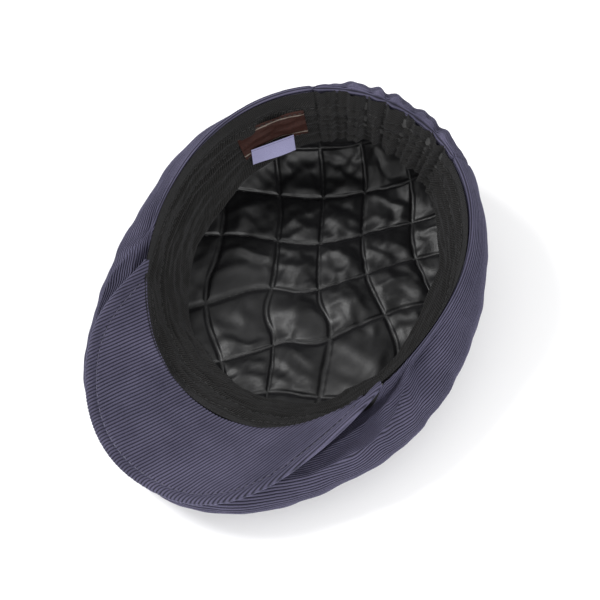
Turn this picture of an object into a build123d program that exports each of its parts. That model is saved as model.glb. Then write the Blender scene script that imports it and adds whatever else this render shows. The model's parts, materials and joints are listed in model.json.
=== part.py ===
from build123d import *
import os
from math import cos, pi, sin, sqrt

# A corduroy flat cap lying upside down on its crown. Millimetres, +Z up, the brim points to -Y, and y = 0 is
# the widest place of the head opening until the last step, which centres the cap in Y.

# ---- driving dimensions: head opening ----
RIM_HALF_WIDTH = 84.0
RIM_FRONT = 98.0            # from y = 0 forward to the brim seam
RIM_BACK = 87.5             # from y = 0 back to the elastic
EGG_POWER = 2.08            # 2 is an ellipse, more is squarer
RIM_PROFILE = [(-45, 53.2), (-20, 62.8), (0, 68.4), (45, 79.7), (87.5, 90.2), (130, 100.5)]   # (y, z)
# Highest place of the crown beside the brim, as (y, z)
SHOULDER = [(-45, 53.2), (-62, 47), (-80, 42), (-100, 39), (-130, 37), (-170, 36)]

# ---- driving dimensions: brim ----
BRIM_RADIUS = 94.0          # the brim is bent round a cylinder
BRIM_SEAM_Z = 24.0          # height of the brim's upward face at the seam, on the centre line
BRIM_SLOPE = 0.138          # rise towards the tip
BRIM_HALF_WIDTH = 75.0
BRIM_LENGTH = 106.0         # from BRIM_BACK_Y to the tip
BRIM_BACK_Y = -50.0
BRIM_POWER = 2.35
BRIM_END_Y = -45.0          # where the brim's two ends run out along the head opening
COVER = 1.2                 # corduroy over the brim board
BOARD = 1.8
EDGE_ROW_INSET = 5.5        # stitched row inside the brim's edge
SEAM_GAP = 1.0              # between the head opening's outline and the covers

# ---- driving dimensions: layers of the crown, as depths inside the outer face ----
SHELL = 1.8
WADDING = (2.1, 4.0)
LINING = (4.3, 5.1)
BRIM_GAP = 2.0              # air between the brim and the crown under it
BACK_PANEL_HALF_WIDTH = 42.0
BACK_PANEL_LIFT = 1.2       # clear of the top panel while the elastic stretches
FACING_DEPTH = 7.0
BAND_FABRIC = 1.2
QUILT_PITCH = 32.0
QUILT_ANGLE = 36.0

# ---- driving dimensions: labels; an azimuth is 0 at the back and +90 at the right side ----
BRAND_LABEL = (-50.0, 38.0, 61.5, 79.0)     # azimuth, width, height of the lower edge, height of the upper edge
CARE_LABEL = (-48.0, 24.0, 17.0, 23.0)      # azimuth, width, length, lean of its lower end away from the wall
CARE_HINGE = (-54.6, 49.2, 60.5)            # middle of its sewn top edge
LABEL_THICKNESS = 0.5
THREAD = 0.6
STITCH_ROWS = (8.5, 16.0)   # stitched rows of the sweatband, measured down from the rim

# Outer sections of the crown: half width, reach forward, reach back, height at the front, height at the back
CROWN = [
    (58, 106, 70, 0, 0),
    (78, 130, 91, 2.5, 3.5),
    (90.5, 144.5, 102, 8, 12),
    (97.5, 152.5, 108.5, 16, 27),
    (100, 155, 110, 24, 47),
    (95, 150, 104, 31, 71),
    (84.5, 143, 88.5, 37, 98),
]
# Sections of the sweatband's outer face, from its lower edge to above the rim
BAND = [
    (67, 68, 82, 8.5, 56),
    (81.5, 96, 86, 22, 90),
    (84.5, 100, 87, 45, 112),
]
SEAM_HEIGHT = (10, 24)      # seam round the top panel: height at y = -150 and at y = 110
LINING_TOP = [(-170, 7.4), (-72, 7.4), (130, 68)]    # (y, z) where the lining meets the sweatband
FAR = 400.0                 # larger than the cap
CENTRE_SHIFT = 23.0         # moves the middle of the cap's length to y = 0


def egg(half_width, front, back, count=40):
    """Points of an egg-shaped ring: a superellipse with a different reach forward and back."""
    points = []
    for step in range(count):
        turn = 2 * pi * step / count
        across, along = sin(turn), cos(turn)
        x = half_width * abs(across) ** (2 / EGG_POWER) * (1 if across >= 0 else -1)
        reach = back if along >= 0 else -front
        points.append((x, reach * abs(along) ** (2 / EGG_POWER)))
    return points


def section(half_width, front, back, z_front, z_back, inset=0.0, lift=0.0):
    """A flat egg-shaped face, tilted about X and shrunk within its own plane."""
    slope = (z_back - z_front) / (front + back)
    ring = egg(half_width - inset, front - inset, back - inset)
    points = [Vector(x, y, z_front + lift + (y + front) * slope) for x, y in ring]
    return Face(Wire([Edge.make_spline(points, periodic=True)]))


def crown(inset):
    """The crown's volume, shrunk by a depth from its outer face and standing higher by it above the rim."""
    widest = 4
    lifts = [inset * max(0.0, 1 - index / widest) for index in range(len(CROWN) - 1)] + [inset]
    return loft([section(*row, inset, lift) for row, lift in zip(CROWN, lifts)])


def funnel(inset):
    """The volume inside the sweatband's outer face, shrunk by a depth, and longer by it at both ends."""
    return loft([section(*row, inset, lift) for row, lift in zip(BAND, (-inset, 0, inset))])


def layer(shape, outer, inner):
    return shape(outer) - shape(inner)


def prism(points, low=-50.0, high=200.0):
    """A closed flat outline in XY, as a tall solid."""
    edge = Edge.make_spline([Vector(x, y, low) for x, y in points], periodic=True)
    return extrude(Face(Wire([edge])), amount=high - low, dir=(0, 0, 1))


def above_profile(points, drop=0.0, smooth=True):
    """Everything above a line of (y, z) points, the same for every x."""
    line = [Vector(-FAR / 2, y, z - drop) for y, z in points]
    low = Spline(*line) if smooth else Polyline(*line)
    first, last = line[0], line[-1]
    sides = Polyline(last, (last.X, last.Y, FAR), (first.X, first.Y, FAR), first)
    return extrude(Face(Wire([*low.edges(), *sides.edges()])), amount=FAR, dir=(1, 0, 0))


def above_brim(depth, drop=0.0):
    """Everything above a face of the brim, depth below its upward face, from the tip to the brim's ends."""
    radius = BRIM_RADIUS + depth
    start_y = BRIM_END_Y
    centre_z = BRIM_SEAM_Z + BRIM_SLOPE * (-start_y - RIM_FRONT) + BRIM_RADIUS - drop
    reach = radius * 0.999
    side_z = centre_z - sqrt(radius ** 2 - reach ** 2)
    arc = ThreePointArc((-reach, start_y, side_z), (0, start_y, centre_z - radius), (reach, start_y, side_z))
    lid = Polyline((reach, start_y, side_z), (reach, start_y, FAR), (-reach, start_y, FAR), (-reach, start_y, side_z))
    face = Face(Wire([*arc.edges(), *lid.edges()]))
    length = 180.0
    return extrude(face, amount=length * sqrt(1 + BRIM_SLOPE ** 2), dir=(0, -1, BRIM_SLOPE))


def above_rim(depth=0.0, drop=0.0):
    """Everything above the rim: the brim's face at the front, the rim's own line behind the brim's ends."""
    return above_brim(depth, drop) + above_profile(RIM_PROFILE, drop)


def brim_outline(inset=0.0, count=24):
    """The brim's plan, closed by a straight line between its ends."""
    half_width, length = BRIM_HALF_WIDTH - inset, BRIM_LENGTH - inset
    points = []
    for step in range(count + 1):
        turn = pi * step / count - pi / 2
        x = half_width * abs(sin(turn)) ** (2 / BRIM_POWER) * (1 if turn > 0 else -1)
        points.append((x, BRIM_BACK_Y - length * cos(turn) ** (2 / BRIM_POWER) if 0 < step < count else BRIM_BACK_Y))
    line = Edge.make_spline([Vector(x, y, -50) for x, y in points])
    back = BRIM_END_Y - inset * 0.4
    ends = Polyline((points[-1][0], points[-1][1], -50), (points[-1][0], back, -50), (points[0][0], back, -50),
                    (points[0][0], points[0][1], -50))
    return extrude(Face(Wire([line, *ends.edges()])), amount=250, dir=(0, 0, 1))


def brim_layer(upper, lower, inset, seam_gap):
    """One layer of the brim, between two depths below its upward face."""
    plan = brim_outline(inset) - prism(egg(RIM_HALF_WIDTH + seam_gap, RIM_FRONT + seam_gap, RIM_BACK + seam_gap))
    return (plan & above_brim(lower)) - above_brim(upper)


def back_zone():
    return Pos(0, FAR / 2, 0) * Box(2 * BACK_PANEL_HALF_WIDTH, FAR, 2 * FAR)


def shell_layer(outer, inner):
    """A layer of the crown that follows its outer face and turns back under the brim to the brim seam."""
    under = COVER + BOARD + COVER + BRIM_GAP
    cut_outer = above_brim(under + outer) + above_profile(RIM_PROFILE) + above_profile(SHOULDER, outer)
    cut_inner = above_brim(under + inner) + above_profile(SHOULDER, inner)
    opening = prism(egg(RIM_HALF_WIDTH, RIM_FRONT, RIM_BACK), low=12.0) + prism(egg(60, 90, 60), low=6.0)
    return ((crown(outer) - cut_outer) - (crown(inner) - cut_inner)) - opening


def seam_plane_body(lift, above):
    """The half of space above or below the seam that runs round the top panel."""
    front, back = SEAM_HEIGHT
    rise = (back - front) / 260
    upper = above_profile([(-170, front - 20 * rise + lift), (130, back + 20 * rise + lift)], smooth=False)
    return upper if above else Box(2 * FAR, 2 * FAR, 2 * FAR) - upper


def crown_panels():
    """Top panel, two side panels and the gathered back panel, butted along their seams."""
    shell = shell_layer(0, SHELL)
    sides = shell & seam_plane_body(0, True)
    back = (sides & back_zone()) & seam_plane_body(BACK_PANEL_LIFT, True)
    rest = sides - back_zone()
    return {
        "top_panel": shell & seam_plane_body(0, False),
        "side_panel_left": rest & half_space(-1),
        "side_panel_right": rest & half_space(1),
        "back_panel": back,
    }


def half_space(sign, at=0.0):
    """Everything to the right (+1) or left (-1) of the plane x = at."""
    return Pos(at + sign * FAR / 2, 0, 0) * Box(FAR, 2 * FAR, 2 * FAR)


def brim_parts():
    """The board between its two covers, and the stitched row round the edge."""
    board_top, board_low = COVER, COVER + BOARD
    row = brim_outline(EDGE_ROW_INSET) - brim_outline(EDGE_ROW_INSET + THREAD)
    row = row - prism(egg(RIM_HALF_WIDTH + 3, RIM_FRONT + 3, RIM_BACK + 3)) - back_of(BRIM_END_Y - 12)
    return {
        "brim_under_cover": brim_layer(0, board_top, 0, SEAM_GAP),
        "brim_board": brim_layer(board_top + 0.05, board_low - 0.05, 2.0, 3.0),
        "brim_top_cover": brim_layer(board_low, board_low + COVER, 0, SEAM_GAP),
        "brim_edge_stitching": (row & above_brim(-0.1)) - above_brim(-0.1 - THREAD / 2),
    }


def back_of(y):
    """Everything behind a plane of constant y."""
    return Pos(0, y + FAR / 2, 0) * Box(FAR, FAR, 2 * FAR)


def inside_layers():
    """Wadding and quilted lining over the top panel, and the lining of the wall."""
    below_band = Box(2 * FAR, 2 * FAR, 2 * FAR) - above_profile(LINING_TOP, smooth=False)
    lining = layer(crown, *LINING) & below_band
    wadding = layer(crown, *WADDING) & seam_plane_body(-1.5, False) & below_band
    return {
        "crown_lining": lining & seam_plane_body(0, False),
        "wall_lining": lining & seam_plane_body(0, True),
        "crown_wadding": wadding,
        "quilting_stitches": quilting(),
    }


def quilting():
    """Crossing rows of stitches over the flat of the lining, laid diagonally to the cap."""
    half_width, front, back = CROWN[0][:3]
    margin = LINING[1] + 3
    bed = prism(egg(half_width - margin, front - margin, back - margin), low=0, high=20)
    height = LINING[1] + 0.1 + THREAD / 4
    bars = []
    for turn in (QUILT_ANGLE, QUILT_ANGLE + 90):
        for step in range(-2, 3):
            bars.append(Pos(0, 0, height) * Rot(0, 0, turn) * Pos(0, step * QUILT_PITCH, 0)
                        * Box(FAR, THREAD, THREAD / 2))
    return (bars[0] + bars[1:]) & bed


def around(azimuth, width, low, high):
    """A box round a place on the band: azimuth turns from the back (0) towards the right side (+90)."""
    box = Pos(0, 75, (low + high) / 2) * Box(width, 70, high - low)
    return Rot(0, 0, -azimuth) * box


def labels():
    """Woven label sewn to the band by its four sides, and a care label that hangs from its own top edge."""
    azimuth, width, low, high = BRAND_LABEL
    woven = layer(funnel, BAND_FABRIC + 0.2, BAND_FABRIC + 0.2 + LABEL_THICKNESS) & around(*BRAND_LABEL)
    frame = around(azimuth, width - 1.4, low + 0.7, high - 0.7) - around(azimuth, width - 2.6, low + 1.3, high - 1.3)
    inner = BAND_FABRIC + 0.3 + LABEL_THICKNESS
    return {
        "brand_label": woven,
        "brand_label_stitches": layer(funnel, inner, inner + 0.3) & frame,
    }


def care_label():
    """A folded tape, flat, leaning on the band below the woven label."""
    x, y, z = CARE_HINGE
    azimuth, width, length, lean = CARE_LABEL
    sheet = Pos(0, 0, -length / 2) * Box(width, LABEL_THICKNESS, length)
    return Pos(x, y, z) * Rot(0, 0, -azimuth) * Rot(-lean, 0, 0) * sheet


def head_band():
    """Sweatband, facing strip along the rim, elastic with its casing, and two stitched rows that skip the label."""
    ring = layer(funnel, 0, BAND_FABRIC) - above_rim(0.3)
    facing = ring & above_rim(0, FACING_DEPTH)
    band = ring - above_rim(0, FACING_DEPTH)
    thread = layer(funnel, BAND_FABRIC + 0.1, BAND_FABRIC + 0.1 + THREAD / 2)
    upper_row, lower_row = [(thread - above_rim(0, drop)) & above_rim(0, drop + THREAD) for drop in STITCH_ROWS]
    azimuth, width, low, high = BRAND_LABEL
    label = around(azimuth, width + 1, low - 0.5, high + 0.5)
    elastic = layer(funnel, -2.2, -0.6) - above_rim(0.3, 5.0)
    elastic = elastic & above_rim(0.3, 24.0) & back_zone()
    zone = back_zone()
    return {
        "sweatband": band - zone,
        "elastic_casing": band & zone,
        "rim_facing": facing - zone,
        "back_facing": facing & zone,
        "elastic_band": elastic,
        "sweatband_upper_stitches": upper_row - zone - label,
        "sweatband_lower_stitches": lower_row - zone - label,
        "casing_stitches": (upper_row + lower_row) & zone,
    }


def main():
    nodes = {}
    nodes.update(crown_panels())
    nodes.update(brim_parts())
    nodes.update(inside_layers())
    nodes.update(head_band())
    nodes.update(labels())
    nodes["care_label"] = care_label()
    return nodes


os.makedirs("parts", exist_ok=True)
for name, solid in main().items():
    export_step(Pos(0, CENTRE_SHIFT, 0) * solid, f"parts/{name}.step")
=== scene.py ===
import json
import math

import bpy
import numpy as np
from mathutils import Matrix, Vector


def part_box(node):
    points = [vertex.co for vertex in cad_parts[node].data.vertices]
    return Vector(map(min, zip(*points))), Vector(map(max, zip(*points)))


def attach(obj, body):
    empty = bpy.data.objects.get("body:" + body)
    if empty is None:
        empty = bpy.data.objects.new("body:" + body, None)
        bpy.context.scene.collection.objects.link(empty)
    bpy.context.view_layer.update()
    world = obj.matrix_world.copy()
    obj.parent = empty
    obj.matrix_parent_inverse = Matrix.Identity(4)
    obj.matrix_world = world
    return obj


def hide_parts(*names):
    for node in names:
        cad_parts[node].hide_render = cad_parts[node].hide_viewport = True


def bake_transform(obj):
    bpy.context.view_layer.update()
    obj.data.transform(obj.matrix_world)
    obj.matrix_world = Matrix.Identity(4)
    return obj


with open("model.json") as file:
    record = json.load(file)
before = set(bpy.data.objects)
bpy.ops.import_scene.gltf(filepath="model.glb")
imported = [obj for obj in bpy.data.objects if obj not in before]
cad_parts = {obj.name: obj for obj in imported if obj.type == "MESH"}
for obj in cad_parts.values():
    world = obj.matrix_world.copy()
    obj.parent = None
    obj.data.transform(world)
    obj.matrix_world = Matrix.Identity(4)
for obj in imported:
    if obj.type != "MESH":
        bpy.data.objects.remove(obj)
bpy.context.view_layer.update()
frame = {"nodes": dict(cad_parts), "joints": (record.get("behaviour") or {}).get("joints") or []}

# A corduroy flat cap lying upside down on its crown. Shapes are worked out in millimetres in the cap's own
# plan, where y = 0 is the widest place of the head opening, and then moved into the frame.
MM = 0.001
BRIM_TIP_Y = -156.0
SHIFT_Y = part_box("brim_under_cover")[0][1] / MM - BRIM_TIP_Y
EGG_POWER = 2.08
RIM = (84.0, 98.0, 87.5)                    # half width, reach forward, reach back
RIM_PROFILE = [(-45, 53.2), (-20, 62.8), (0, 68.4), (45, 79.7), (87.5, 90.2), (130, 100.5)]
BRIM_RADIUS, BRIM_SEAM_Z, BRIM_SLOPE = 94.0, 24.0, 0.138
BRIM_HALF_WIDTH, BRIM_LENGTH, BRIM_BACK_Y, BRIM_POWER = 75.0, 106.0, -50.0, 2.35
BRIM_THICKNESS, BRIM_GAP = 4.2, 2.2
CROWN = [(58, 106, 70, 0, 0), (78, 130, 91, 2.5, 3.5), (90.5, 144.5, 102, 8, 12), (97.5, 152.5, 108.5, 16, 27),
         (100, 155, 110, 24, 47), (95, 150, 104, 31, 71), (84.5, 143, 88.5, 37, 98)]
BAND = [(67, 68, 82, 8.5, 56), (81.5, 96, 86, 22, 90), (84.5, 100, 87, 45, 112)]
SEAM_HEIGHT = (10.0, 24.0)
SHOULDER = [(-170, 36), (-130, 37), (-100, 39), (-80, 42), (-62, 47), (-45, 53.2)]   # crown beside the brim
SLUMP_Y = (-150, -125, -100, -70, -45, -4, 30, 60, 90)   # how the soft crown slumps sideways as it lies
SLUMP_RIGHT = (-2, -2, 0.5, 4.0, 4.5, 0.0, -4.5, -9.0, -6.5)
SLUMP_LEFT = (0, -2.5, -3.0, -2.5, -2.2, -3.0, -4.5, -4.5, -4.5)
BRIM_SKEW = 4.0                             # the brim's edge lies this far to the left
CORD_EDGE = 1.8                             # corduroy outside the band at the rim
WALE_PITCH = 1.8
WALE_HEIGHT = 0.5
QUILT_PITCH, QUILT_ANGLE = 32.0, math.radians(36)


# ---------------------------------------------------------------- curves and surfaces of the cap
def smooth(value, low, high):
    """0 below low, 1 above high, an S-curve between."""
    t = np.clip((value - low) / (high - low), 0, 1)
    return t * t * (3 - 2 * t)


def power(value, n):
    return np.sign(value) * np.abs(value) ** (2 / n)


def egg(half_width, front, back, turn, n=EGG_POWER):
    """Egg outline: turn 0 is the back, 90 degrees the right side."""
    across, along = np.sin(turn), np.cos(turn)
    return half_width * power(across, n), np.where(along >= 0, back, front) * power(along, n)


def spline(knots, values, at):
    """Catmull-Rom curve through values at knots, read at the places in at."""
    knots, values = np.asarray(knots, float), np.asarray(values, float)
    slopes = np.gradient(values, knots, axis=0)
    i = np.clip(np.searchsorted(knots, at, side="right") - 1, 0, len(knots) - 2)
    step = knots[i + 1] - knots[i]
    s = (at - knots[i]) / step
    if values.ndim == 2:
        s, step = s[..., None], step[..., None]
    return ((2 * s ** 3 - 3 * s ** 2 + 1) * values[i] + (s ** 3 - 2 * s ** 2 + s) * step * slopes[i]
            + (3 * s ** 2 - 2 * s ** 3) * values[i + 1] + (s ** 3 - s ** 2) * step * slopes[i + 1])


def lofted(rows, turn, level, inset=0.0):
    """Point on a surface through egg sections; level counts the sections from 0."""
    row = spline(np.arange(len(rows)), rows, level)
    half_width, front, back, z_front, z_back = (row[..., k] for k in range(5))
    x, y = egg(half_width - inset, front - inset, back - inset, turn)
    z = z_front + (y + front) * (z_back - z_front) / (front + back)
    lift = inset * np.clip(1 - level / 4, 0, 1) if len(rows) > 3 else 0.0
    return np.stack([x, y, z + lift], -1)


def valley(x, y, depth=0.0):
    """Height of the brim's upward face, or of a layer below it."""
    radius = BRIM_RADIUS + depth
    centre = BRIM_SEAM_Z - BRIM_SLOPE * (y + RIM[1]) + BRIM_RADIUS
    return centre - np.sqrt(np.maximum(radius ** 2 - x ** 2, 1.0))


def rim_height(x, y, depth=0.0):
    """Height of the rim; depth lowers it under the brim."""
    ys, zs = zip(*RIM_PROFILE)
    behind = spline(ys, zs, np.clip(y, -45, 130))
    return np.where(y < -45, valley(x, y, depth), behind)


def crown_top(x, y, depth):
    """Highest place of the crown's cloth: the rim, or under the brim and beside it."""
    ys, zs = zip(*SHOULDER)
    beside = spline(ys, zs, np.clip(y, -170, -45)) + 200 * smooth(y, -46, -42)
    return np.minimum(rim_height(x, y, depth), beside)


def lean(points):
    """The crown's slump as it lies: none at the rim, none at the brim's tip."""
    x, y, z = points[..., 0], points[..., 1], points[..., 2]
    free = 1 - smooth(z, 38, np.maximum(rim_height(np.clip(x, -80, 80), y), 60))
    share = smooth(x, -60, 75)
    shift = share * np.interp(y, SLUMP_Y, SLUMP_RIGHT) + (1 - share) * np.interp(y, SLUMP_Y, SLUMP_LEFT)
    out = points.copy()
    out[..., 0] = x + shift * free
    out[..., 1] = y + 2.5 * smooth(-y, 118, 155) * free
    return out


def noise(x, y, seed, scale, octaves=3):
    """Smooth repeatable noise from sines, about -1 to 1."""
    rng = np.random.default_rng(seed)
    total, weight = 0.0, 0.0
    for octave in range(octaves):
        for _ in range(4):
            angle, phase = rng.uniform(0, 2 * math.pi, 2)
            k = 2 * math.pi / scale * 2 ** octave * rng.uniform(0.7, 1.3)
            total = total + np.sin(k * (x * math.cos(angle) + y * math.sin(angle)) + phase) * 0.5 ** octave
        weight += 2 * 0.5 ** octave
    return total / weight


def normals(points):
    """Unit normals of a grid of points (rows, columns, 3)."""
    n = np.cross(np.gradient(points, axis=1), np.gradient(points, axis=0))
    return n / np.maximum(np.linalg.norm(n, axis=-1, keepdims=True), 1e-9)


def lengths_along(line):
    """Length from the first point of a line, or of each column of lines, to every point."""
    steps = np.linalg.norm(np.diff(line, axis=0), axis=-1)
    return np.concatenate([np.zeros((1, *steps.shape[1:])), np.cumsum(steps, axis=0)])


def resample(paths, count):
    """Each column of paths (rows, columns, 3) as count points, evenly spaced along its length."""
    lengths = lengths_along(paths)
    out = np.empty((count, paths.shape[1], 3))
    for column in range(paths.shape[1]):
        at = np.linspace(0, lengths[-1, column], count)
        for k in range(3):
            out[:, column, k] = np.interp(at, lengths[:, column], paths[:, column, k])
    return out, lengths[-1]


# ---------------------------------------------------------------- meshes
def mesh_object(name, points, faces, uvs=None, values=None):
    """A smooth-shaded object from points in the cap's millimetres."""
    mesh = bpy.data.meshes.new(name)
    world = (np.asarray(points, float).reshape(-1, 3) + (0, SHIFT_Y, 0)) * MM
    faces = np.asarray(faces, np.int32)
    mesh.vertices.add(len(world))
    mesh.vertices.foreach_set("co", world.astype(np.float32).ravel())
    mesh.loops.add(faces.size)
    mesh.loops.foreach_set("vertex_index", faces.ravel())
    mesh.polygons.add(len(faces))
    mesh.polygons.foreach_set("loop_start", np.arange(0, faces.size, faces.shape[1], dtype=np.int32))
    mesh.polygons.foreach_set("use_smooth", np.ones(len(faces), bool))
    if uvs is not None:
        layer = mesh.uv_layers.new(name="cloth")
        layer.data.foreach_set("uv", np.asarray(uvs, np.float32).reshape(-1, 2)[faces.ravel()].ravel())
    for key, value in (values or {}).items():
        attribute = mesh.attributes.new(key, "FLOAT", "POINT")
        attribute.data.foreach_set("value", np.asarray(value, np.float32).ravel())
    mesh.update()
    mesh.validate()
    obj = bpy.data.objects.new(name, mesh)
    bpy.context.scene.collection.objects.link(obj)
    return obj


def grid_faces(rows, columns, closed=False):
    """Quads of a grid, closed round in the column direction if asked."""
    r = np.arange(rows - 1)[:, None]
    c = np.arange(columns if closed else columns - 1)[None, :]
    nxt = (c + 1) % columns
    return np.stack(np.broadcast_arrays(r * columns + c, r * columns + nxt, (r + 1) * columns + nxt,
                                        (r + 1) * columns + c), -1).reshape(-1, 4)


def grid_object(name, points, uvs=None, values=None, closed=False):
    rows, columns = points.shape[:2]
    return mesh_object(name, points, grid_faces(rows, columns, closed), uvs, values)


# ---------------------------------------------------------------- corduroy shell
def seam_height(y):
    front, back = SEAM_HEIGHT
    return front + (y + 150) * (back - front) / 260


def wale(phase, seed=0):
    """Height of the corduroy's ribs, 0 in a groove and 1 on a rib, for a place counted in ribs."""
    rib = np.abs(np.cos(math.pi * phase)) ** 0.75
    strength = 1 + 0.12 * np.sin(np.floor(phase + 0.5) * 2.4 + seed)
    return rib * strength


def outward(points, centre=(0, -15, 45)):
    """Normals of a grid that point away from the middle of the cap."""
    n = normals(points)
    if np.mean(np.sum(n * (points - np.array(centre)), -1)) < 0:
        n = -n
    return n


def panel_surface(turns, rows):
    """The crown's wall from the rim to the top panel's seam; under the brim it starts at the brim seam."""
    levels = np.linspace(0, 6, 721)[:, None]
    wall = lofted(CROWN, turns[None, :], levels)
    below = BRIM_THICKNESS + BRIM_GAP
    half = 360
    top = half + np.argmax(wall[half:, :, 2] > crown_top(wall[half:, :, 0], wall[half:, :, 1], below), axis=0)
    low = np.argmax(wall[..., 2] > seam_height(wall[..., 1]), axis=0)
    columns = np.arange(len(turns))
    edge = wall[top, columns]
    under = 1 - smooth(edge[:, 1], -64, -42)
    wanted = np.stack(egg(*(r + CORD_EDGE for r in RIM), turns), -1)
    pull = (wanted - edge[:, :2]) * (1 - under[:, None])
    share = np.clip((wall[..., 2] - 42) / (edge[:, 2] - 42 + 1e-6), 0, 1) ** 1.4
    wall[..., :2] += pull[None] * share[..., None]
    edge = wall[top, columns]
    bx, by = egg(*(r + CORD_EDGE * (1 - under) for r in RIM), turns)
    rise = smooth(by, -58, -46)
    top_z = rim_height(bx, by, below) * (1 - rise) + rim_height(bx, np.maximum(by, -45)) * rise
    base = np.stack([bx, by, top_z], -1)
    sheltered = under[:, None]
    paths = []
    for f in np.linspace(0, 1, 40)[:-1]:
        p = base * (1 - f) + edge * f
        dip = 2.5 * math.sin(math.pi * f) * smooth(np.abs(p[:, 0]), 10, 60)
        p[:, 2] = p[:, 2] * (1 - under) + under * (crown_top(p[:, 0], np.minimum(p[:, 1], -46), below) - dip)
        paths.append(p)
    inward = -np.stack([np.sin(turns), np.cos(turns), 0 * turns], -1)
    roll = [base + (inward * side + np.array([0, 0, up])) * (1 - sheltered)
            for side, up in ((2.6, -6.0), (2.5, -3.0), (2.3, -1.0), (1.6, 0.2), (0.8, 0.55))]
    down = []
    for f in np.linspace(0, 1, 160):
        index = np.round(top + (low - top) * f).astype(int)
        down.append(wall[index, columns])
    points, lengths = resample(np.stack(roll + paths + down), rows)
    for _ in range(10):
        points[1:-1] = 0.25 * points[:-2] + 0.5 * points[1:-1] + 0.25 * points[2:]
    return lean(points), lengths


def gathers(points, turns):
    """Pleats of the elastic back: strongest at the rim, dying out down the panel."""
    zone = 1 - smooth(np.abs(np.degrees(turns)), 17, 31)
    drop = rim_height(points[..., 0], points[..., 1]) - points[..., 2]
    slant = turns + 0.0035 * drop
    ripple = np.sin(slant * 38 + 1.3 * np.sin(slant * 11 + 1.0)) + 0.5 * np.sin(slant * 67 + 2.0 + 0.05 * drop)
    fade = np.exp(-np.maximum(drop, 0) / 20)
    return 1.2 * ripple * zone * fade + 2.6 * zone * np.exp(-((drop - 9) / 9) ** 2)


def corduroy_panel(name, start_deg, end_deg, columns, rows, seed):
    turns = np.radians(np.linspace(start_deg, end_deg, columns))
    points, lengths = panel_surface(turns, rows)
    out = outward(points)
    count = np.round(np.mean(lengths) / WALE_PITCH)
    across = np.linspace(0, count, rows)[:, None] + np.zeros(columns)
    along = lengths_along(points[rows // 2])
    soft = 1.3 * noise(points[..., 0] + points[..., 2], points[..., 1] + 0.6 * points[..., 2], seed, 70)
    edge_distance = np.minimum(np.linspace(0, 1, columns), np.linspace(1, 0, columns)) * along[-1]
    seam = -1.1 * np.exp(-(edge_distance / 1.6) ** 2)[None, :]
    foot = -1.0 * np.exp(-((1 - np.linspace(0, 1, rows)) * 75 / 1.6) ** 2)[:, None]
    inside = np.linspace(0, 1, rows)[:, None] * lengths[None, :]
    ribs = WALE_HEIGHT * (wale(across, seed) - 0.5) * smooth(inside, 2, 5)
    lift = gathers(points, turns[None, :]) * smooth(inside, 3, 8)
    points = points + out * (soft * smooth(inside, 6, 30) + seam + foot + ribs + lift)[..., None]
    points[..., 2] = np.maximum(points[..., 2], 0.2)
    uv = np.stack([across, np.broadcast_to(along / WALE_PITCH, across.shape)], -1)
    return grid_object(name, points, uv)


def level_at(x, y):
    """The crown level whose section passes over a plan point; 0 inside the flat of the crown."""
    low, high = np.zeros_like(x), np.full_like(x, 4.0)
    for _ in range(26):
        middle = (low + high) / 2
        row = spline(np.arange(len(CROWN)), CROWN, middle)
        reach = np.where(y >= 0, row[..., 2], row[..., 1])
        ratio = (np.abs(x) / row[..., 0]) ** EGG_POWER + (np.abs(y) / reach) ** EGG_POWER
        low, high = np.where(ratio > 1, middle, low), np.where(ratio > 1, high, middle)
    return (low + high) / 2


def crown_floor(x, y):
    """Height of the crown's outer face over a plan point below its widest place."""
    row = spline(np.arange(len(CROWN)), CROWN, level_at(x, y))
    front, back, z_front, z_back = (row[..., k] for k in range(1, 5))
    return z_front + (y + front) * (z_back - z_front) / (front + back)


def top_panel():
    turns = np.linspace(0, math.pi, 721)
    levels = np.linspace(0, 4, 401)[:, None]
    wall = lofted(CROWN, turns[None, :], levels)
    low = np.argmax(wall[..., 2] > seam_height(wall[..., 1]), axis=0)
    outline = wall[low, np.arange(len(turns))]
    widest = np.argmax(outline[:, 0])
    half_width = outline[widest, 0] - 0.05
    columns, rows = 500, 96
    x = np.linspace(-half_width, half_width, columns)
    y_back = np.interp(np.abs(x), outline[:widest + 1, 0], outline[:widest + 1, 1])
    y_front = np.interp(np.abs(x), outline[widest:, 0][::-1], outline[widest:, 1][::-1])
    f = (1 - np.cos(np.linspace(0, math.pi, rows)))[:, None] / 2
    y = y_front[None, :] * (1 - f) + y_back[None, :] * f
    xs = np.broadcast_to(x, y.shape)
    points = np.stack([xs, y, crown_floor(xs, y)], -1)
    out = normals(points)
    out = np.where(out[..., 2:] > 0, -out, out)
    ratio = np.minimum(y - y_front, y_back - y)
    seam = -1.0 * np.exp(-(np.minimum(ratio, (half_width - np.abs(x)) * 2) / 1.6) ** 2)
    ribs = WALE_HEIGHT * (wale(x / WALE_PITCH, 3) - 1.0)
    points = points + out * (seam + ribs)[..., None]
    points[..., 2] = np.maximum(points[..., 2], 0.05)
    points = lean(points)
    uv = np.stack([xs / WALE_PITCH, y / WALE_PITCH], -1)
    return grid_object("top_panel_corduroy", points, uv)


# ---------------------------------------------------------------- brim
BRIM_WALE_ANGLE = math.radians(22)
FURROW_INSET = 5.5


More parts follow.
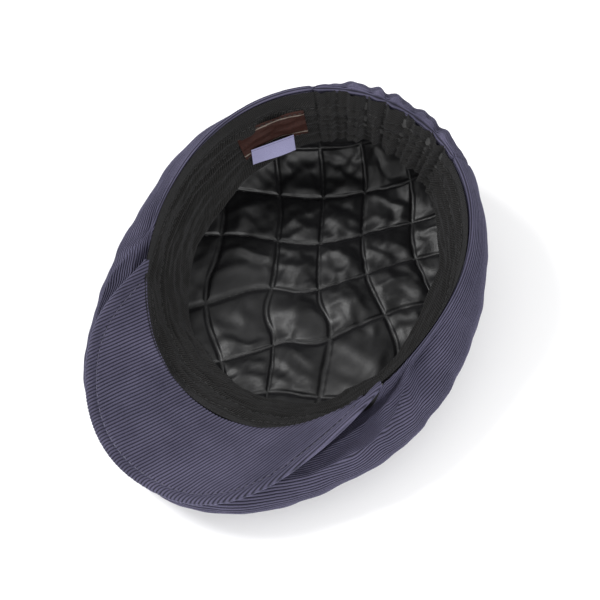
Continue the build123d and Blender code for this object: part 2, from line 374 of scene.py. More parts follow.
def brim_plan(columns, rows, inset=0.0, seam_gap=0.0):
    """Plan points of the brim, rows from the seam to the edge, and each one's distance from the edge."""
    s = np.linspace(-math.pi / 2, math.pi / 2, columns)
    ox = (BRIM_HALF_WIDTH - inset) * power(np.sin(s), BRIM_POWER)
    oy = BRIM_BACK_Y - (BRIM_LENGTH - inset) * np.maximum(np.cos(s), 0) ** (2 / BRIM_POWER)
    end = math.radians(118.5)
    turn = math.pi - (math.pi - end) * s / (math.pi / 2)
    ix, iy = egg(RIM[0] + seam_gap, RIM[1] + seam_gap, RIM[2], turn)
    f = np.linspace(0, 1, rows)[:, None]
    ox = ox - BRIM_SKEW * smooth(-oy, 50, 110)
    x, y = ix * (1 - f) + ox * f, iy * (1 - f) + oy * f
    outline = np.stack([ox, oy], -1)
    distance = np.full(x.shape, 1e9)
    for a, b in zip(outline[:-1], outline[1:]):
        ab = b - a
        t = np.clip(((x - a[0]) * ab[0] + (y - a[1]) * ab[1]) / max(ab @ ab, 1e-9), 0, 1)
        distance = np.minimum(distance, np.hypot(x - a[0] - t * ab[0], y - a[1] - t * ab[1]))
    return x, y, distance


def brim_cover(name, top, columns, rows):
    """One corduroy cover: the face towards the opening (top) or the one towards the crown, with half the edge."""
    x, y, distance = brim_plan(columns, rows, seam_gap=-0.9)
    half = BRIM_THICKNESS / 2
    rounding = half - np.sqrt(np.maximum(half ** 2 - np.maximum(half - distance, 0) ** 2, 0))
    depth = rounding if top else BRIM_THICKNESS - rounding
    points = np.stack([x, y, valley(x, y, depth)], -1)
    n = normals(points)
    n = np.where(n[..., 2:] * (1 if top else -1) < 0, -n, n)
    furrow = -0.75 * np.exp(-((distance - FURROW_INSET) / 0.9) ** 2)
    edge_roll = 0.35 * np.exp(-((distance - 2.8) / 1.8) ** 2)
    developed = BRIM_RADIUS * np.arcsin(x / BRIM_RADIUS)
    across = (developed * math.cos(BRIM_WALE_ANGLE) - y * math.sin(BRIM_WALE_ANGLE)) / WALE_PITCH
    along = (developed * math.sin(BRIM_WALE_ANGLE) + y * math.cos(BRIM_WALE_ANGLE)) / WALE_PITCH
    across = across + 0.12 * noise(x, y, 11, 40)
    ribs = WALE_HEIGHT * (wale(across, 7) - 0.5)
    soft = 0.35 * noise(x, y, 12, 45)
    points = points + n * (furrow + edge_roll + ribs + soft * smooth(distance, 4, 14))[..., None]
    return grid_object(name, points, np.stack([across, along], -1))


def brim_stiffener():
    """The board between the two covers: both faces and a thin edge."""
    x, y, _ = brim_plan(200, 40, inset=2.4, seam_gap=0.4)
    upper = np.stack([x, y, valley(x, y, 1.2)], -1)
    lower = np.stack([x, y, valley(x, y, 3.0)], -1)
    return grid_object("brim_stiffener", np.concatenate([upper, lower[::-1], upper[:1]]))


def stitches(name, line, up, length=2.9, gap=1.3, radius=0.34):
    """Separate stitches along a line (points, 3): short tapered threads half sunk into the cloth."""
    at = lengths_along(line)
    points, faces = [], []
    rings, sides = 5, 6
    start = 0.0
    while start + length < at[-1]:
        places = np.linspace(start, start + length, rings)
        centre = np.stack([np.interp(places, at, line[:, k]) for k in range(3)], -1)
        raise_by = np.stack([np.interp(places, at, up[:, k]) for k in range(3)], -1)
        along = centre[-1] - centre[0]
        along = along / np.linalg.norm(along)
        arch = np.sin(np.linspace(0, math.pi, rings))
        base = len(points)
        for ring in range(rings):
            side = np.cross(along, raise_by[ring])
            side = side / np.linalg.norm(side)
            r = radius * (0.35 + 0.65 * arch[ring])
            middle = centre[ring] + raise_by[ring] * (arch[ring] - 0.6) * radius
            for k in range(sides):
                a = 2 * math.pi * k / sides
                points.append(middle + r * (math.cos(a) * side + math.sin(a) * raise_by[ring]))
        for ring in range(rings - 1):
            for k in range(sides):
                a, b = base + ring * sides + k, base + ring * sides + (k + 1) % sides
                faces.append((a, b, b + sides, a + sides))
        start += length + gap
    return mesh_object(name, np.array(points), faces)


def brim_edge_stitches():
    x, y, _ = brim_plan(400, 3, inset=FURROW_INSET)
    x, y = x[-1], y[-1]
    keep = (egg_ratio(x, y, RIM[0] + 2, RIM[1] + 2) > 1) & (y < BRIM_BACK_Y - 8)
    x, y = x[keep], y[keep]
    line = np.stack([x, y, valley(x, y) - 0.5], -1)
    up = np.stack([-x / BRIM_RADIUS, 0 * x, np.sqrt(1 - (x / BRIM_RADIUS) ** 2)], -1)
    return stitches("brim_edge_stitches", line, up)


def egg_ratio(x, y, half_width, front):
    """Over 1 outside the front half of an egg outline."""
    return (np.abs(x) / half_width) ** EGG_POWER + (np.abs(y) / front) ** EGG_POWER


# ---------------------------------------------------------------- sweatband and facing
FACING_DEPTH = 7.0
BAND_ROWS_DOWN = (1.6, 10.5, 14.0)          # stitched rows, measured down from the facing


def band_surface(turns, rows, inset):
    """The inside face of the sweatband from the rim down, rows evenly spaced."""
    levels = np.linspace(2, 0, 401)[:, None]
    wall = lofted(BAND, turns[None, :], levels, inset)
    trim = rim_height(wall[..., 0], wall[..., 1]) - 0.6
    top = np.argmax(wall[..., 2] <= trim, axis=0)
    columns = np.arange(len(turns))
    paths = [wall[np.round(top + (400 - top) * f).astype(int), columns] for f in np.linspace(0, 1, 120)]
    return resample(np.stack(paths), rows)


def band_pleats(turns, down):
    """Gathers of the twill over the elastic, and long shallow folds elsewhere."""
    degrees = np.degrees(turns)
    zone = 1 - smooth(np.abs(degrees), 24, 36)
    ripple = np.sin(turns * 38 + 1.3 * np.sin(turns * 11 + 1.0)) + 0.5 * np.sin(turns * 90 + 2.0 + down * 0.08)
    long_folds = 1.5 * noise(degrees * 1.4, down, 21, 60) + 0.8 * noise(degrees * 1.4, down * 3.5, 22, 24)
    return 1.5 * ripple * zone + long_folds * smooth(down, 2, 9)


def band_piece(name, start_deg, end_deg, columns, rows):
    turns = np.radians(np.linspace(start_deg, end_deg, columns))
    points, lengths = band_surface(turns, rows, 1.2)
    n = -outward(points)
    down = np.linspace(0, 1, rows)[:, None] * lengths[None, :]
    lift = band_pleats(turns[None, :], down)
    from_facing = down - FACING_DEPTH
    for row in BAND_ROWS_DOWN:
        lift = lift - 0.9 * np.exp(-((from_facing - row) / 0.8) ** 2)
    lift = lift + 0.8 * np.exp(-((from_facing - 12.2) / 1.1) ** 2) - 1.0 * (1 - smooth(down, 5.5, 7.5))
    wander = 1.5 * noise(np.degrees(turns), np.zeros(columns), 27, 45)
    for place in (4.6, 19.0):
        lift = lift + 0.8 * np.exp(-((from_facing - place - wander[None, :]) / 1.3) ** 2)
    hem = lengths[None, :] - down
    lift = lift + 0.9 * np.exp(-((hem - 2.2) / 1.5) ** 2) - 1.6 * np.exp(-(hem / 0.8) ** 2)
    points = points + n * lift[..., None]
    along = lengths_along(points[0])
    uv = np.stack([np.broadcast_to(along, down.shape), down], -1)
    return grid_object(name, points, uv)


def facing_piece(name, start_deg, end_deg, columns):
    """The folded strip along the rim, from inside the corduroy's rolled edge down over the band's top."""
    turns = np.radians(np.linspace(start_deg, end_deg, columns))
    rows = 20
    points, lengths = band_surface(turns, 200, 0.4)
    down = np.linspace(-1.5, FACING_DEPTH + 1.2, rows)
    at = np.clip(down, 0, None)[:, None] / lengths[None, :] * 199
    index = np.clip(at.astype(int), 0, 198)
    part = (at - index)[..., None]
    columns_at = np.arange(columns)[None, :]
    strip = points[index, columns_at] * (1 - part) + points[index + 1, columns_at] * part
    strip[..., 2] += np.maximum(-down, 0)[:, None] * 0.9
    n = -outward(strip)
    fold = 0.9 * np.sin(np.clip((down + 1.5) / (FACING_DEPTH + 2.7), 0, 1) * math.pi) ** 0.6
    pleat = band_pleats(turns[None, :], np.maximum(down, 0)[:, None]) * 0.9
    strip = strip + n * (fold[:, None] + pleat - 0.2)[..., None]
    along = lengths_along(strip[0])
    uv = np.stack([np.broadcast_to(along, strip.shape[:2]), np.broadcast_to(down[:, None], strip.shape[:2])], -1)
    return grid_object(name, strip, uv)


def band_stitch_row(name, row, start_deg, end_deg):
    turns = np.radians(np.linspace(start_deg, end_deg, 500))
    points, lengths = band_surface(turns, 200, 1.2)
    n = -outward(points)
    down = np.full(len(turns), FACING_DEPTH + row)
    index = np.clip(np.round(down / lengths * 199).astype(int), 0, 199)
    columns = np.arange(len(turns))
    lift = band_pleats(turns, down) - 0.45
    up = n[index, columns]
    return stitches(name, points[index, columns] + up * lift[:, None], up, radius=0.26)


# ---------------------------------------------------------------- quilted lining
def meridians(turns):
    """The lining's path for each turn, from the middle of the floor out and up the wall, with its lengths."""
    levels = np.linspace(0, 5.2, 300)[:, None]
    wall = lofted(CROWN, turns[None, :], levels, 5.0)
    wall[..., 2] = np.maximum(wall[..., 2], 5.0)
    centre = np.array([0.0, -12.0, 5.0])
    floor = np.linspace(0, 1, 120)[1:, None, None]
    paths = np.concatenate([np.broadcast_to(centre, (1, len(turns), 3)),
                            centre * (1 - floor) + wall[0][None] * floor, wall[1:]])
    return paths, lengths_along(paths)


def lining_map(a, b):
    """Turns flat pattern coordinates into places on the lining."""
    turns = np.linspace(-math.pi, math.pi, 361)
    paths, lengths = meridians(turns)
    reach = np.hypot(a, b)
    turn = np.arctan2(a, b)
    place = (turn + math.pi) / (2 * math.pi) * 360
    left = np.clip(place.astype(int), 0, 359)
    share = place - left
    samples = np.linspace(0, 190, 381)
    table = np.empty((len(samples), len(turns), 3))
    for c in range(len(turns)):
        for k in range(3):
            table[:, c, k] = np.interp(samples, lengths[:, c], paths[:, c, k])
    row = np.clip(reach / 0.5, 0, 379.99)
    low = row.astype(int)
    part = (row - low)[..., None]
    share = share[..., None]
    first = table[low, left] * (1 - part) + table[low + 1, left] * part
    second = table[low, left + 1] * (1 - part) + table[low + 1, left + 1] * part
    return first * (1 - share) + second * share


CELLS, PER_CELL = 11, 12                    # quilted squares across the pattern, mesh squares in each
SEWN_STEPS = 18                             # frames for which the cloth is let puff up
MOST_PUFF, MOST_SINK = 4.5, 0.6             # furthest that it moves, and sinks towards the wadding


def turned(u, v):
    """Pattern coordinates along the cap, from places along and across the quilting."""
    return (u * math.cos(QUILT_ANGLE) - v * math.sin(QUILT_ANGLE),
            u * math.sin(QUILT_ANGLE) + v * math.cos(QUILT_ANGLE))


def lining():
    """The quilted satin before it puffs up: places, normals, and which are inside the cap and sewn down."""
    side = CELLS * PER_CELL + 1
    flat = (np.arange(side) - (side - 1) / 2) / PER_CELL * QUILT_PITCH
    u, v = np.meshgrid(flat, flat)
    a, b = turned(u, v)
    points = lean(lining_map(a, b))
    n = normals(points)
    n = np.where(np.sum(n * (np.array([0, -15, 70]) - points), -1, keepdims=True) < 0, -n, n)
    inside = np.hypot(a, b) < lining_reach(np.arctan2(a, b))
    cu, cv = u / QUILT_PITCH + 0.5, v / QUILT_PITCH + 0.5
    puff = np.abs(np.sin(math.pi * cu) * np.sin(math.pi * cv)) ** 0.5
    folds = 0.0
    for seed in range(3):
        direction = 0.9 * noise(np.floor(cu) * 7.3, np.floor(cv) * 5.1, 60 + seed, 13, 1) + seed * 1.1
        across = (u * np.cos(direction) + v * np.sin(direction)) / (7.5 + 2 * seed)
        folds = folds + np.maximum(np.sin(across * 2 * math.pi / 1.4 + 5 * noise(u, v, 70 + seed, 90, 1)), 0) ** 2
    points = points + n * (puff * (2.4 + 0.55 * (folds - 0.75)))[..., None]
    seam = np.arange(side) % PER_CELL == 0
    sewn = seam[:, None] | seam[None, :]
    return points, n, inside, sewn, np.stack([u, v], -1)


def lining_reach(turn):
    """How far from the middle the lining goes before it is hidden behind the sweatband, along the cloth."""
    turns = np.linspace(-math.pi, math.pi, 361)
    paths, lengths = meridians(turns)
    low = lofted(BAND, turns, np.zeros(len(turns)))
    reach = np.empty(len(turns))
    for c in range(len(turns)):
        plan = np.hypot(paths[:, c, 0], paths[:, c, 1] + 12)
        edge_plan = math.hypot(low[c, 0], low[c, 1] + 12)
        height = low[c, 2] + 9
        beyond = (plan > edge_plan + 8) & (paths[:, c, 2] > min(height, 60) - 4)
        front = plan > edge_plan + 26
        index = np.argmax(beyond | front) if np.any(beyond | front) else len(plan) - 1
        reach[c] = lengths[index, c]
    return np.interp(turn, turns, reach)


def lining_object(name):
    """The lining's mesh: cloth with spare length, sewn down along the crossing rows, puffed by simulation."""
    points, n, inside, sewn, flat = lining()
    side = len(points)
    index = np.arange(side * side).reshape(side, side)
    quads = np.stack([index[:-1, :-1], index[:-1, 1:], index[1:, 1:], index[1:, :-1]], -1).reshape(-1, 4)
    keep = inside.ravel()[quads].all(1)
    quads = quads[keep]
    used, packed = np.unique(quads, return_inverse=True)
    quads = packed.reshape(-1, 4)
    points, n, flat = points.reshape(-1, 3)[used], n.reshape(-1, 3)[used], flat.reshape(-1, 2)[used]
    sewn = sewn.ravel()[used]
    counts = np.bincount(quads.ravel(), minlength=len(used))
    border = counts < 4
    obj = mesh_object(name, points, quads, flat)
    start = np.array([v.co[:] for v in obj.data.vertices])
    group = obj.vertex_groups.new(name="sewn")
    group.add([int(i) for i in np.flatnonzero(sewn | border)], 1.0, "REPLACE")
    cloth = obj.modifiers.new("cloth", "CLOTH")
    cloth.settings.quality = 6
    cloth.settings.mass = 0.15
    cloth.settings.tension_stiffness = 20
    cloth.settings.compression_stiffness = 20
    cloth.settings.shear_stiffness = 4
    cloth.settings.bending_stiffness = 0.3
    cloth.settings.air_damping = 3
    cloth.settings.shrink_min = -0.05
    cloth.settings.vertex_group_mass = "sewn"
    cloth.settings.use_pressure = True
    cloth.settings.uniform_pressure_force = 1.5
    cloth.settings.effector_weights.gravity = 0
    cloth.collision_settings.use_collision = False
    scene = bpy.context.scene
    for step in range(1, SEWN_STEPS + 1):
        scene.frame_set(step)
    graph = bpy.context.evaluated_depsgraph_get()
    result = np.array([v.co[:] for v in obj.evaluated_get(graph).data.vertices])
    obj.modifiers.remove(cloth)
    scene.frame_set(1)
    move = result - start
    size = np.linalg.norm(move, axis=1, keepdims=True)
    move = move * np.minimum(1, MOST_PUFF * MM / np.maximum(size, 1e-9))
    rise = np.sum(move * n, axis=1, keepdims=True)
    move = move + n * (np.maximum(rise, -MOST_SINK * MM) - rise)
    obj.data.vertices.foreach_set("co", (start + move).astype(np.float32).ravel())
    obj.data.update()
    subdivide(obj, 1)
    return obj


def subdivide(obj, levels):
    """Applies a subdivision, leaving a plain mesh."""
    modifier = obj.modifiers.new("smooth", "SUBSURF")
    modifier.levels = levels
    graph = bpy.context.evaluated_depsgraph_get()
    mesh = bpy.data.meshes.new_from_object(obj.evaluated_get(graph))
    obj.modifiers.clear()
    old = obj.data
    obj.data = mesh
    mesh.name = obj.name
    bpy.data.meshes.remove(old)


def quilting_stitches():
    """Short stitches along every sewn row of the lining."""
    rows = [k - (CELLS - 1) / 2 - 0.5 for k in range(CELLS + 1)]
    objects = []
    along = np.arange(-170, 170.1, 1.5)
    for index, row in enumerate(rows):
        for crossing in (False, True):
            u = np.full_like(along, row * QUILT_PITCH) if crossing else along
            v = along if crossing else np.full_like(along, row * QUILT_PITCH)
            a, b = turned(u, v)
            inside = np.hypot(a, b) < lining_reach(np.arctan2(a, b)) - 3
            if inside.sum() < 6:
                continue
            line = lean(lining_map(a[inside], b[inside]))
            up = np.array([0, -15, 70]) - line
            up = up / np.linalg.norm(up, axis=1, keepdims=True)
            objects.append(stitches(f"quilt_row_{index}_{int(crossing)}", line + 0.35 * up, up, 2.4, 1.5, 0.24))
    return join("quilting_stitches_thread", objects)


def join(name, objects):
    """One object from several plain meshes."""
    with bpy.context.temp_override(active_object=objects[0], selected_editable_objects=objects):
        bpy.ops.object.join()
    objects[0].name = name
    objects[0].data.name = name
    return objects[0]


def wadding_sheet():
    """Fluffy wadding between the top panel and its lining."""
    turns = np.radians(np.arange(0, 360, 3))
    levels = np.linspace(0, 2.4, 30)[:, None]
    wall = lofted(CROWN, turns[None, :], levels, 2.2)
    centre = np.array([0.0, -12.0, 2.2])
    f = np.linspace(0.02, 1, 40)[:-1, None, None]
    points = lean(np.concatenate([centre * (1 - f) + wall[:1] * f, wall]))
    points[..., 2] += 0.3 * noise(points[..., 0], points[..., 1], 41, 12)
    return grid_object("wadding_sheet", points, closed=True)


# ---------------------------------------------------------------- labels
def band_place(turns, down):
    """Points and inward normals of the sweatband's folded face, down from the rim; both arguments are grids."""
    line = turns[0]
    points, lengths = band_surface(line, 300, 1.2)
    n = -outward(points)
    index = np.clip(np.round(down / lengths[None, :] * 299).astype(int), 0, 299)
    columns = np.broadcast_to(np.arange(len(line)), index.shape)
    lift = band_pleats(turns, down)
    return points[index, columns] + n[index, columns] * lift[..., None], n[index, columns]


LABEL_TURNS, LABEL_DOWN = (-64.5, -36.0), (9.5, 26.0)
CARE_AZIMUTH, CARE_LEAN, CARE_SKEW = math.radians(-48), math.radians(23), math.radians(8)


def woven_label():
    columns, rows = 90, 40
    turns = np.radians(np.linspace(*LABEL_TURNS, columns))[None, :] + np.zeros((rows, 1))
    down = np.linspace(*LABEL_DOWN, rows)[:, None] + np.zeros((1, columns))
    points, n = band_place(turns, down)
    f, g = np.linspace(0, 1, columns)[None, :], np.linspace(0, 1, rows)[:, None]
    edge = np.minimum(np.minimum(f, 1 - f) * 38, np.minimum(g, 1 - g) * 17)
    raise_by = 1.1 + 0.5 * smooth(edge, 1.2, 4) * (1 + 0.6 * np.sin(f * 9) * np.sin(g * 3)) - 0.5 * (edge < 0.4)
    return grid_object("woven_label_tape", points + n * raise_by[..., None], np.stack([f + 0 * g, g + 0 * f], -1))


def label_stitches():
    turns = np.linspace(*LABEL_TURNS, 120)
    inset = 1.6
    rows = []
    for name, down in (("label_top", LABEL_DOWN[0] + 0.9), ("label_low", LABEL_DOWN[1] - 0.9)):
        grid = np.radians(turns[4:-4])[None, :]
        points, n = band_place(grid, np.full(grid.shape, down))
        rows.append(stitches(name, points[0] + n[0] * inset, n[0], 1.8, 1.0, 0.2))
    return join("woven_label_stitches", rows)


def care_label():
    """The lilac tape: its top edge is sewn under the woven label, its lower end leans into the cap."""
    hinge = next(j for j in frame["joints"] if j["name"] == "care_label_flap")
    origin = np.array(hinge["pos_m"]) / MM - (0, SHIFT_Y, 0)
    along = np.array([math.cos(CARE_AZIMUTH), -math.sin(CARE_AZIMUTH), 0])
    inward = np.array([-math.sin(CARE_AZIMUTH), -math.cos(CARE_AZIMUTH), 0])
    columns, rows = 40, 34
    f = np.linspace(-12.5, 12.5, columns)[None, :, None]
    g = np.linspace(-0.6, 9.0, rows)[:, None, None]
    down = np.array([0, 0, -1]) * math.cos(CARE_LEAN) + inward * math.sin(CARE_LEAN)
    points = origin + along * f + down * g
    shift = (points - origin) @ along
    points = points - down * (shift * math.tan(CARE_SKEW))[..., None]
    face = np.cross(along, down)
    curl = 0.9 * np.sin(f / 25 * 5 + 0.6) * smooth(g, 0, 16) + 1.6 * (g / 16) ** 2
    points = points + face * (-curl if face @ inward < 0 else curl)
    uv = np.stack([np.broadcast_to((f[..., 0] + 12.5) / 25, (rows, columns)),
                   np.broadcast_to((g[..., 0] + 0.6) / 9.6, (rows, columns))], -1)
    return grid_object("care_label_tape", points, uv)


# ---------------------------------------------------------------- materials
def material(name, roughness, sheen=0.0, sheen_tint=(1, 1, 1), specular=0.5):
    """A new node material; returns it with its node-making helper and its shader."""
    mat = bpy.data.materials.new(name)
    mat.use_nodes = True
    nodes, links = mat.node_tree.nodes, mat.node_tree.links
    shader = nodes["Principled BSDF"]
    shader.inputs["Roughness"].default_value = roughness
    shader.inputs["Specular IOR Level"].default_value = specular
    shader.inputs["Sheen Weight"].default_value = sheen
    shader.inputs["Sheen Tint"].default_value = (*sheen_tint, 1)
    shader.inputs["Sheen Roughness"].default_value = 0.45

    def add(kind, values=None, **settings):
        node = nodes.new(kind)
        for key, value in settings.items():
            setattr(node, key, value)
        for key, value in (values or {}).items():
            if isinstance(value, bpy.types.NodeSocket):
                links.new(value, node.inputs[key])
            else:
                node.inputs[key].default_value = value
        return node
    return mat, add, shader, links


def ramp(add, fac, stops):
    node = add("ShaderNodeValToRGB", {"Fac": fac})
    elements = node.color_ramp.elements
    while len(elements) < len(stops):
        elements.new(0.5)
    for element, (place, colour) in zip(elements, stops):
        element.position = place
        element.color = (*colour, 1)
    return node.outputs["Color"]


def mix(add, fac, a, b, blend="MIX"):
    node = add("ShaderNodeMix", data_type="RGBA", blend_type=blend)
    for key, value in ((0, fac), (6, a), (7, b)):
        if isinstance(value, bpy.types.NodeSocket):
            node.id_data.links.new(value, node.inputs[key])
        else:
            node.inputs[key].default_value = value if key == 0 else (*value, 1)
    return node.outputs[2]


def math_node(add, operation, a, b=0.0, c=0.0):
    return add("ShaderNodeMath", {0: a, 1: b, 2: c}, operation=operation).outputs[0]


def bump(add, links, shader, height, strength, distance):
    node = add("ShaderNodeBump", {"Height": height, "Strength": strength, "Distance": distance})
    links.new(node.outputs["Normal"], shader.inputs["Normal"])


# corduroy colours: the groove and rib-side colours are painted shade, the rib-top colour is the cloth's own
CORD_GROOVE_SHADE, CORD_SIDE_SHADE, CORD_RIDGE = (0.003, 0.003, 0.005), (0.021, 0.020, 0.034), (0.066, 0.062, 0.101)


def corduroy_material():
    """Cut ribs of velvety pile: painted shade darkens the grooves and the ribs' sides, the rib tops keep the
    cloth's colour, mottled where the pile leans.
    """
    mat, add, shader, links = material("corduroy", 0.9, 0.22, (0.5, 0.5, 0.8), 0.2)
    uv = add("ShaderNodeUVMap", uv_map="cloth").outputs["UV"]
    split = add("ShaderNodeSeparateXYZ", {"Vector": uv})
    place = add("ShaderNodeTexCoord").outputs["Object"]
    pile = add("ShaderNodeTexNoise", {"Vector": add("ShaderNodeMapping", {"Vector": uv, "Scale": (5.0, 2.2, 1)}
                                                    ).outputs[0], "Scale": 1.0, "Detail": 4.0, "Roughness": 0.65})
    wobble = math_node(add, "MULTIPLY_ADD", pile.outputs["Fac"], 0.16, -0.08)
    phase = math_node(add, "ADD", split.outputs["X"], wobble)
    wave = math_node(add, "ABSOLUTE", math_node(add, "COSINE", math_node(add, "MULTIPLY", phase, math.pi)))
    # painted shade: the colour runs from near black in the grooves up to the cloth's own colour on the rib tops
    base = ramp(add, wave, [(0.0, CORD_GROOVE_SHADE), (0.38, CORD_SIDE_SHADE), (0.95, CORD_RIDGE)])
    tone = add("ShaderNodeTexNoise", {"Vector": place, "Scale": 26.0, "Detail": 5.0, "Roughness": 0.6})
    shade = ramp(add, tone.outputs["Fac"], [(0.3, (0.62, 0.62, 0.65)), (0.7, (1.25, 1.24, 1.22))])
    fuzz = ramp(add, pile.outputs["Fac"], [(0.3, (0.72, 0.72, 0.72)), (0.75, (1.35, 1.35, 1.33))])
    colour = mix(add, 1.0, mix(add, 1.0, base, shade, "MULTIPLY"), fuzz, "MULTIPLY")
    links.new(colour, shader.inputs["Base Color"])
    height = math_node(add, "MULTIPLY_ADD", pile.outputs["Fac"], 0.35, wave)
    bump(add, links, shader, height, 0.55, 0.0005)
    return mat


def twill_material():
    """Black cotton twill: fine diagonal ribs with a little lint."""
    mat, add, shader, links = material("twill", 0.8, 0.06, (0.8, 0.8, 0.85), 0.2)
    uv = add("ShaderNodeUVMap", uv_map="cloth").outputs["UV"]
    wave = add("ShaderNodeTexWave", {"Vector": uv, "Scale": 0.42, "Distortion": 1.2, "Detail": 2.0,
                                     "Detail Scale": 3.0}, wave_type="BANDS", bands_direction="DIAGONAL")
    lint = add("ShaderNodeTexNoise", {"Vector": uv, "Scale": 0.9, "Detail": 6.0, "Roughness": 0.7})
    base = ramp(add, wave.outputs["Fac"], [(0.1, (0.002, 0.002, 0.002)), (0.9, (0.014, 0.0135, 0.013))])
    flecks = ramp(add, lint.outputs["Fac"], [(0.3, (0.7, 0.7, 0.7)), (0.75, (1.5, 1.5, 1.5))])
    links.new(mix(add, 1.0, base, flecks, "MULTIPLY"), shader.inputs["Base Color"])
    bump(add, links, shader, math_node(add, "ADD", wave.outputs["Fac"], lint.outputs["Fac"]), 0.7, 0.0006)
    return mat


def satin_material():
    """Black satin: glossy, with fine threads that stretch the highlights."""
    mat, add, shader, links = material("satin", 0.3, 0.02, (0.8, 0.8, 0.9), 0.43)
    uv = add("ShaderNodeUVMap", uv_map="cloth").outputs["UV"]
    threads = add("ShaderNodeTexNoise", {"Vector": add("ShaderNodeMapping", {"Vector": uv, "Scale": (9.0, 0.7, 1)}
                                                       ).outputs[0], "Scale": 1.0, "Detail": 3.0})
    creases = add("ShaderNodeTexNoise", {"Vector": uv, "Scale": 0.04, "Detail": 1.6, "Roughness": 0.45,
                                         "Distortion": 0.5}, noise_type="RIDGED_MULTIFRACTAL")
    base = ramp(add, threads.outputs["Fac"], [(0.3, (0.0035, 0.0035, 0.004)), (0.7, (0.007, 0.007, 0.0075))])
    links.new(base, shader.inputs["Base Color"])
    rough = add("ShaderNodeMapRange", {"Value": threads.outputs["Fac"], "To Min": 0.34, "To Max": 0.5})
    links.new(rough.outputs[0], shader.inputs["Roughness"])
    split = add("ShaderNodeSeparateXYZ", {"Vector": uv})
    half = QUILT_PITCH / 2
    rows = [math_node(add, "PINGPONG", math_node(add, "ADD", split.outputs[axis], half), half)
            for axis in ("X", "Y")]
    nearest = math_node(add, "MINIMUM", *rows)
    groove = add("ShaderNodeMapRange", {"Value": nearest, "From Max": 2.6, "To Max": 0.5},
                 interpolation_type="SMOOTHERSTEP").outputs[0]
    height = math_node(add, "MULTIPLY_ADD", threads.outputs["Fac"], 0.05,
                       math_node(add, "ADD", creases.outputs["Fac"], groove))
    bump(add, links, shader, height, 0.6, 0.0032)
    shader.inputs["Anisotropic"].default_value = 0.4
    return mat


def cloth_material(name, dark, light, scale, roughness=0.8, sheen=0.3, height=0.0002):
    """Plain woven or twisted yarn: two tones on a fine noise, for threads, tapes and wadding."""
    mat, add, shader, links = material(name, roughness, sheen)
    place = add("ShaderNodeTexCoord").outputs["Object"]
    grain = add("ShaderNodeTexNoise", {"Vector": place, "Scale": scale, "Detail": 5.0, "Roughness": 0.7})
    links.new(ramp(add, grain.outputs["Fac"], [(0.3, dark), (0.7, light)]), shader.inputs["Base Color"])
    bump(add, links, shader, grain.outputs["Fac"], 0.5, height)
    return mat


def tape_material(name, ground, ground_light, mark, roughness, lines):
    """Woven label tape: fine ribs across it and plain lines along it, with no lettering."""
    mat, add, shader, links = material(name, roughness, 0.03, specular=0.15)
    uv = add("ShaderNodeUVMap", uv_map="cloth").outputs["UV"]
    split = add("ShaderNodeSeparateXYZ", {"Vector": uv})
    ribs = add("ShaderNodeTexWave", {"Vector": uv, "Scale": 28.0, "Distortion": 0.6}, wave_type="BANDS",
               bands_direction="X")
    grain = add("ShaderNodeTexNoise", {"Vector": uv, "Scale": 30.0, "Detail": 4.0})
    tone = math_node(add, "MULTIPLY_ADD", ribs.outputs["Fac"], 0.35, grain.outputs["Fac"])
    colour = ramp(add, tone, [(0.35, ground), (0.95, ground_light)])
    for low, high in lines:
        colour = mix(add, step_between(add, split.outputs["Y"], low, high), colour, mark)
    links.new(colour, shader.inputs["Base Color"])
    bump(add, links, shader, tone, 0.35, 0.0002)
    return mat


def step_between(add, value, low, high):
    above = math_node(add, "GREATER_THAN", value, low)
    below = math_node(add, "LESS_THAN", value, high)
    return math_node(add, "MULTIPLY", above, below)


def dress(obj, mat, slot, body, *nodes):
    """Gives a piece its material and hides the CAD nodes it stands for; the slot argument is not used."""
    obj.data.materials.clear()
    obj.data.materials.append(mat)
    if nodes:
        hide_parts(*nodes)
    if body:
        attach(obj, body)
    return obj


def stretch(obj):
    """Bakes the piece's transform into its mesh."""
    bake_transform(obj)
    return obj


def point(x, y, z):
    return (x * MM, (y + SHIFT_Y) * MM, z * MM)


def sheet(obj):
    """Returns the piece unchanged."""
    return obj


# ---------------------------------------------------------------- the cap
corduroy, twill, satin = corduroy_material(), twill_material(), satin_material()
thread_blue = cloth_material("thread_blue", (0.03, 0.028, 0.05), (0.085, 0.08, 0.13), 2500, 0.6)
thread_black = cloth_material("thread_black", (0.003, 0.003, 0.003), (0.012, 0.012, 0.013), 2500, 0.6, 0.05)
wadding_cloth = cloth_material("wadding", (0.55, 0.55, 0.52), (0.82, 0.82, 0.8), 400, 0.95)
board_surface = cloth_material("brim_board", (0.30, 0.29, 0.27), (0.42, 0.41, 0.38), 300, 0.6)
elastic_cloth = cloth_material("elastic", (0.012, 0.012, 0.012), (0.035, 0.035, 0.035), 900, 0.7)
woven_tape = tape_material("woven_label", (0.010, 0.003, 0.002), (0.030, 0.009, 0.006), (0.12, 0.10, 0.085),
                           0.7, [(0.12, 0.16), (0.84, 0.88)])
care_tape = tape_material("care_label", (0.16, 0.155, 0.26), (0.24, 0.235, 0.36), (0.10, 0.095, 0.16),
                          0.6, [(0.10, 0.13)])

left = corduroy_panel("side_panel_left_corduroy", -180, -31, 260, 330, 1)
right = corduroy_panel("side_panel_right_corduroy", 31, 180, 260, 330, 1)
back = corduroy_panel("back_panel_corduroy", -31, 31, 190, 330, 1)
for obj, node in ((left, "side_panel_left"), (right, "side_panel_right"), (back, "back_panel")):
    dress(obj, corduroy, "corduroy", None, node)
    sheet(obj)
    stretch(obj)
top = dress(top_panel(), corduroy, "corduroy", "cap", "top_panel")
sheet(top)

for name, face_up, node in (("brim_under_cover_corduroy", True, "brim_under_cover"),
                            ("brim_top_cover_corduroy", False, "brim_top_cover")):
    cover = dress(brim_cover(name, face_up, 560, 132), corduroy, "corduroy", "cap", node)
    sheet(cover)
dress(brim_edge_stitches(), thread_blue, "thread", "cap", "brim_edge_stitching")

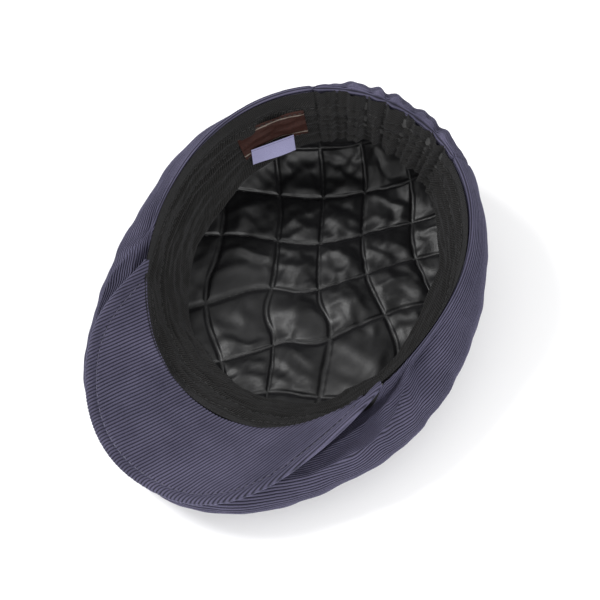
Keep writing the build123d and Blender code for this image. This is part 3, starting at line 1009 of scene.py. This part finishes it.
lining_cloth = dress(lining_object("quilted_lining"), satin, "satin_lining", "cap", "crown_lining", "wall_lining")
dress(quilting_stitches(), thread_black, "thread", "cap", "quilting_stitches")

for name, start, end, columns, node in (
        ("sweatband_twill", 31, 329, 620, "sweatband"), ("elastic_casing_twill", -31, 31, 180, "elastic_casing")):
    piece = dress(band_piece(name, start, end, columns, 80), twill, "twill_band", None, node)
    sheet(piece)
    stretch(piece)
for name, start, end, columns, node in (
        ("rim_facing_twill", 31, 329, 620, "rim_facing"), ("back_facing_twill", -31, 31, 180, "back_facing")):
    piece = dress(facing_piece(name, start, end, columns), twill, "twill_band", None, node)
    sheet(piece)
    stretch(piece)
for name, row, start, end, node in (
        ("sweatband_upper_row", BAND_ROWS_DOWN[0], 31, 329, "sweatband_upper_stitches"),
        ("sweatband_lower_row", BAND_ROWS_DOWN[1], 31, 329, "sweatband_lower_stitches"),
        ("casing_upper_row", BAND_ROWS_DOWN[0], -31, 31, "casing_stitches"),
        ("casing_lower_row", BAND_ROWS_DOWN[1], -31, 31, "casing_stitches")):
    stretch(dress(band_stitch_row(name, row, start, end), thread_black, "thread", None, node))

dress(woven_label(), woven_tape, "woven_label", "cap", "brand_label")
dress(label_stitches(), thread_black, "thread", "cap", "brand_label_stitches")
care = dress(care_label(), care_tape, "care_label", "care_label", "care_label")
sheet(care)

sheet(dress(wadding_sheet(), wadding_cloth, "wadding", "cap", "crown_wadding"))

dress(brim_stiffener(), board_surface, "brim_board", "cap", "brim_board")

elastic = frame["nodes"]["elastic_band"]
elastic.data.materials.clear()
elastic.data.materials.append(elastic_cloth)


# ---------------------------------------------------------------- floor, light and camera
def floor():
    mesh = bpy.data.meshes.new("floor")
    mesh.from_pydata([(-4, -4, 0), (4, -4, 0), (4, 4, 0), (-4, 4, 0)], [], [(0, 1, 2, 3)])
    obj = bpy.data.objects.new("floor", mesh)
    bpy.context.scene.collection.objects.link(obj)
    mat, _, shader, _ = material("floor", 0.75, specular=0.15)
    shader.inputs["Base Color"].default_value = (0.93, 0.93, 0.935, 1)
    mesh.materials.append(mat)


def area_light(name, place, target, size, watts):
    data = bpy.data.lights.new(name, "AREA")
    data.shape, data.size, data.energy = "DISK", size, watts
    obj = bpy.data.objects.new(name, data)
    obj.location = place
    obj.rotation_euler = (Vector(target) - Vector(place)).to_track_quat("-Z", "Y").to_euler()
    bpy.context.scene.collection.objects.link(obj)


AZIMUTH, ELEVATION, DISTANCE = math.radians(31.7), math.radians(57.0), 1.3
LENS, SENSOR = 143.3, 36.0
back_axis = Vector((math.sin(AZIMUTH) * math.cos(ELEVATION), -math.cos(AZIMUTH) * math.cos(ELEVATION),
                    math.sin(ELEVATION)))
right_axis = Vector((math.cos(AZIMUTH), math.sin(AZIMUTH), 0))
up_axis = back_axis.cross(right_axis)
target = Vector(point(0, -20, 40)) + right_axis * 0.0052 - up_axis * 0.0027
camera_data = bpy.data.cameras.new("camera")
camera_data.lens, camera_data.sensor_width = LENS, SENSOR
camera = bpy.data.objects.new("camera", camera_data)
camera.location = target + back_axis * DISTANCE
camera.rotation_euler = back_axis.to_track_quat("Z", "Y").to_euler()
bpy.context.scene.collection.objects.link(camera)
bpy.context.scene.camera = camera

floor()
area_light("key", (-1.1, -0.45, 1.5), (0, 0, 0.03), 0.7, 31)
area_light("fill", (1.1, -0.75, 0.75), (0, 0, 0.03), 1.2, 20)
world = bpy.data.worlds.new("world")
world.use_nodes = True
world.node_tree.nodes["Background"].inputs["Color"].default_value = (1, 1, 1, 1)
world.node_tree.nodes["Background"].inputs["Strength"].default_value = 0.77
bpy.context.scene.world = world
bpy.context.scene.view_settings.view_transform = "Standard"
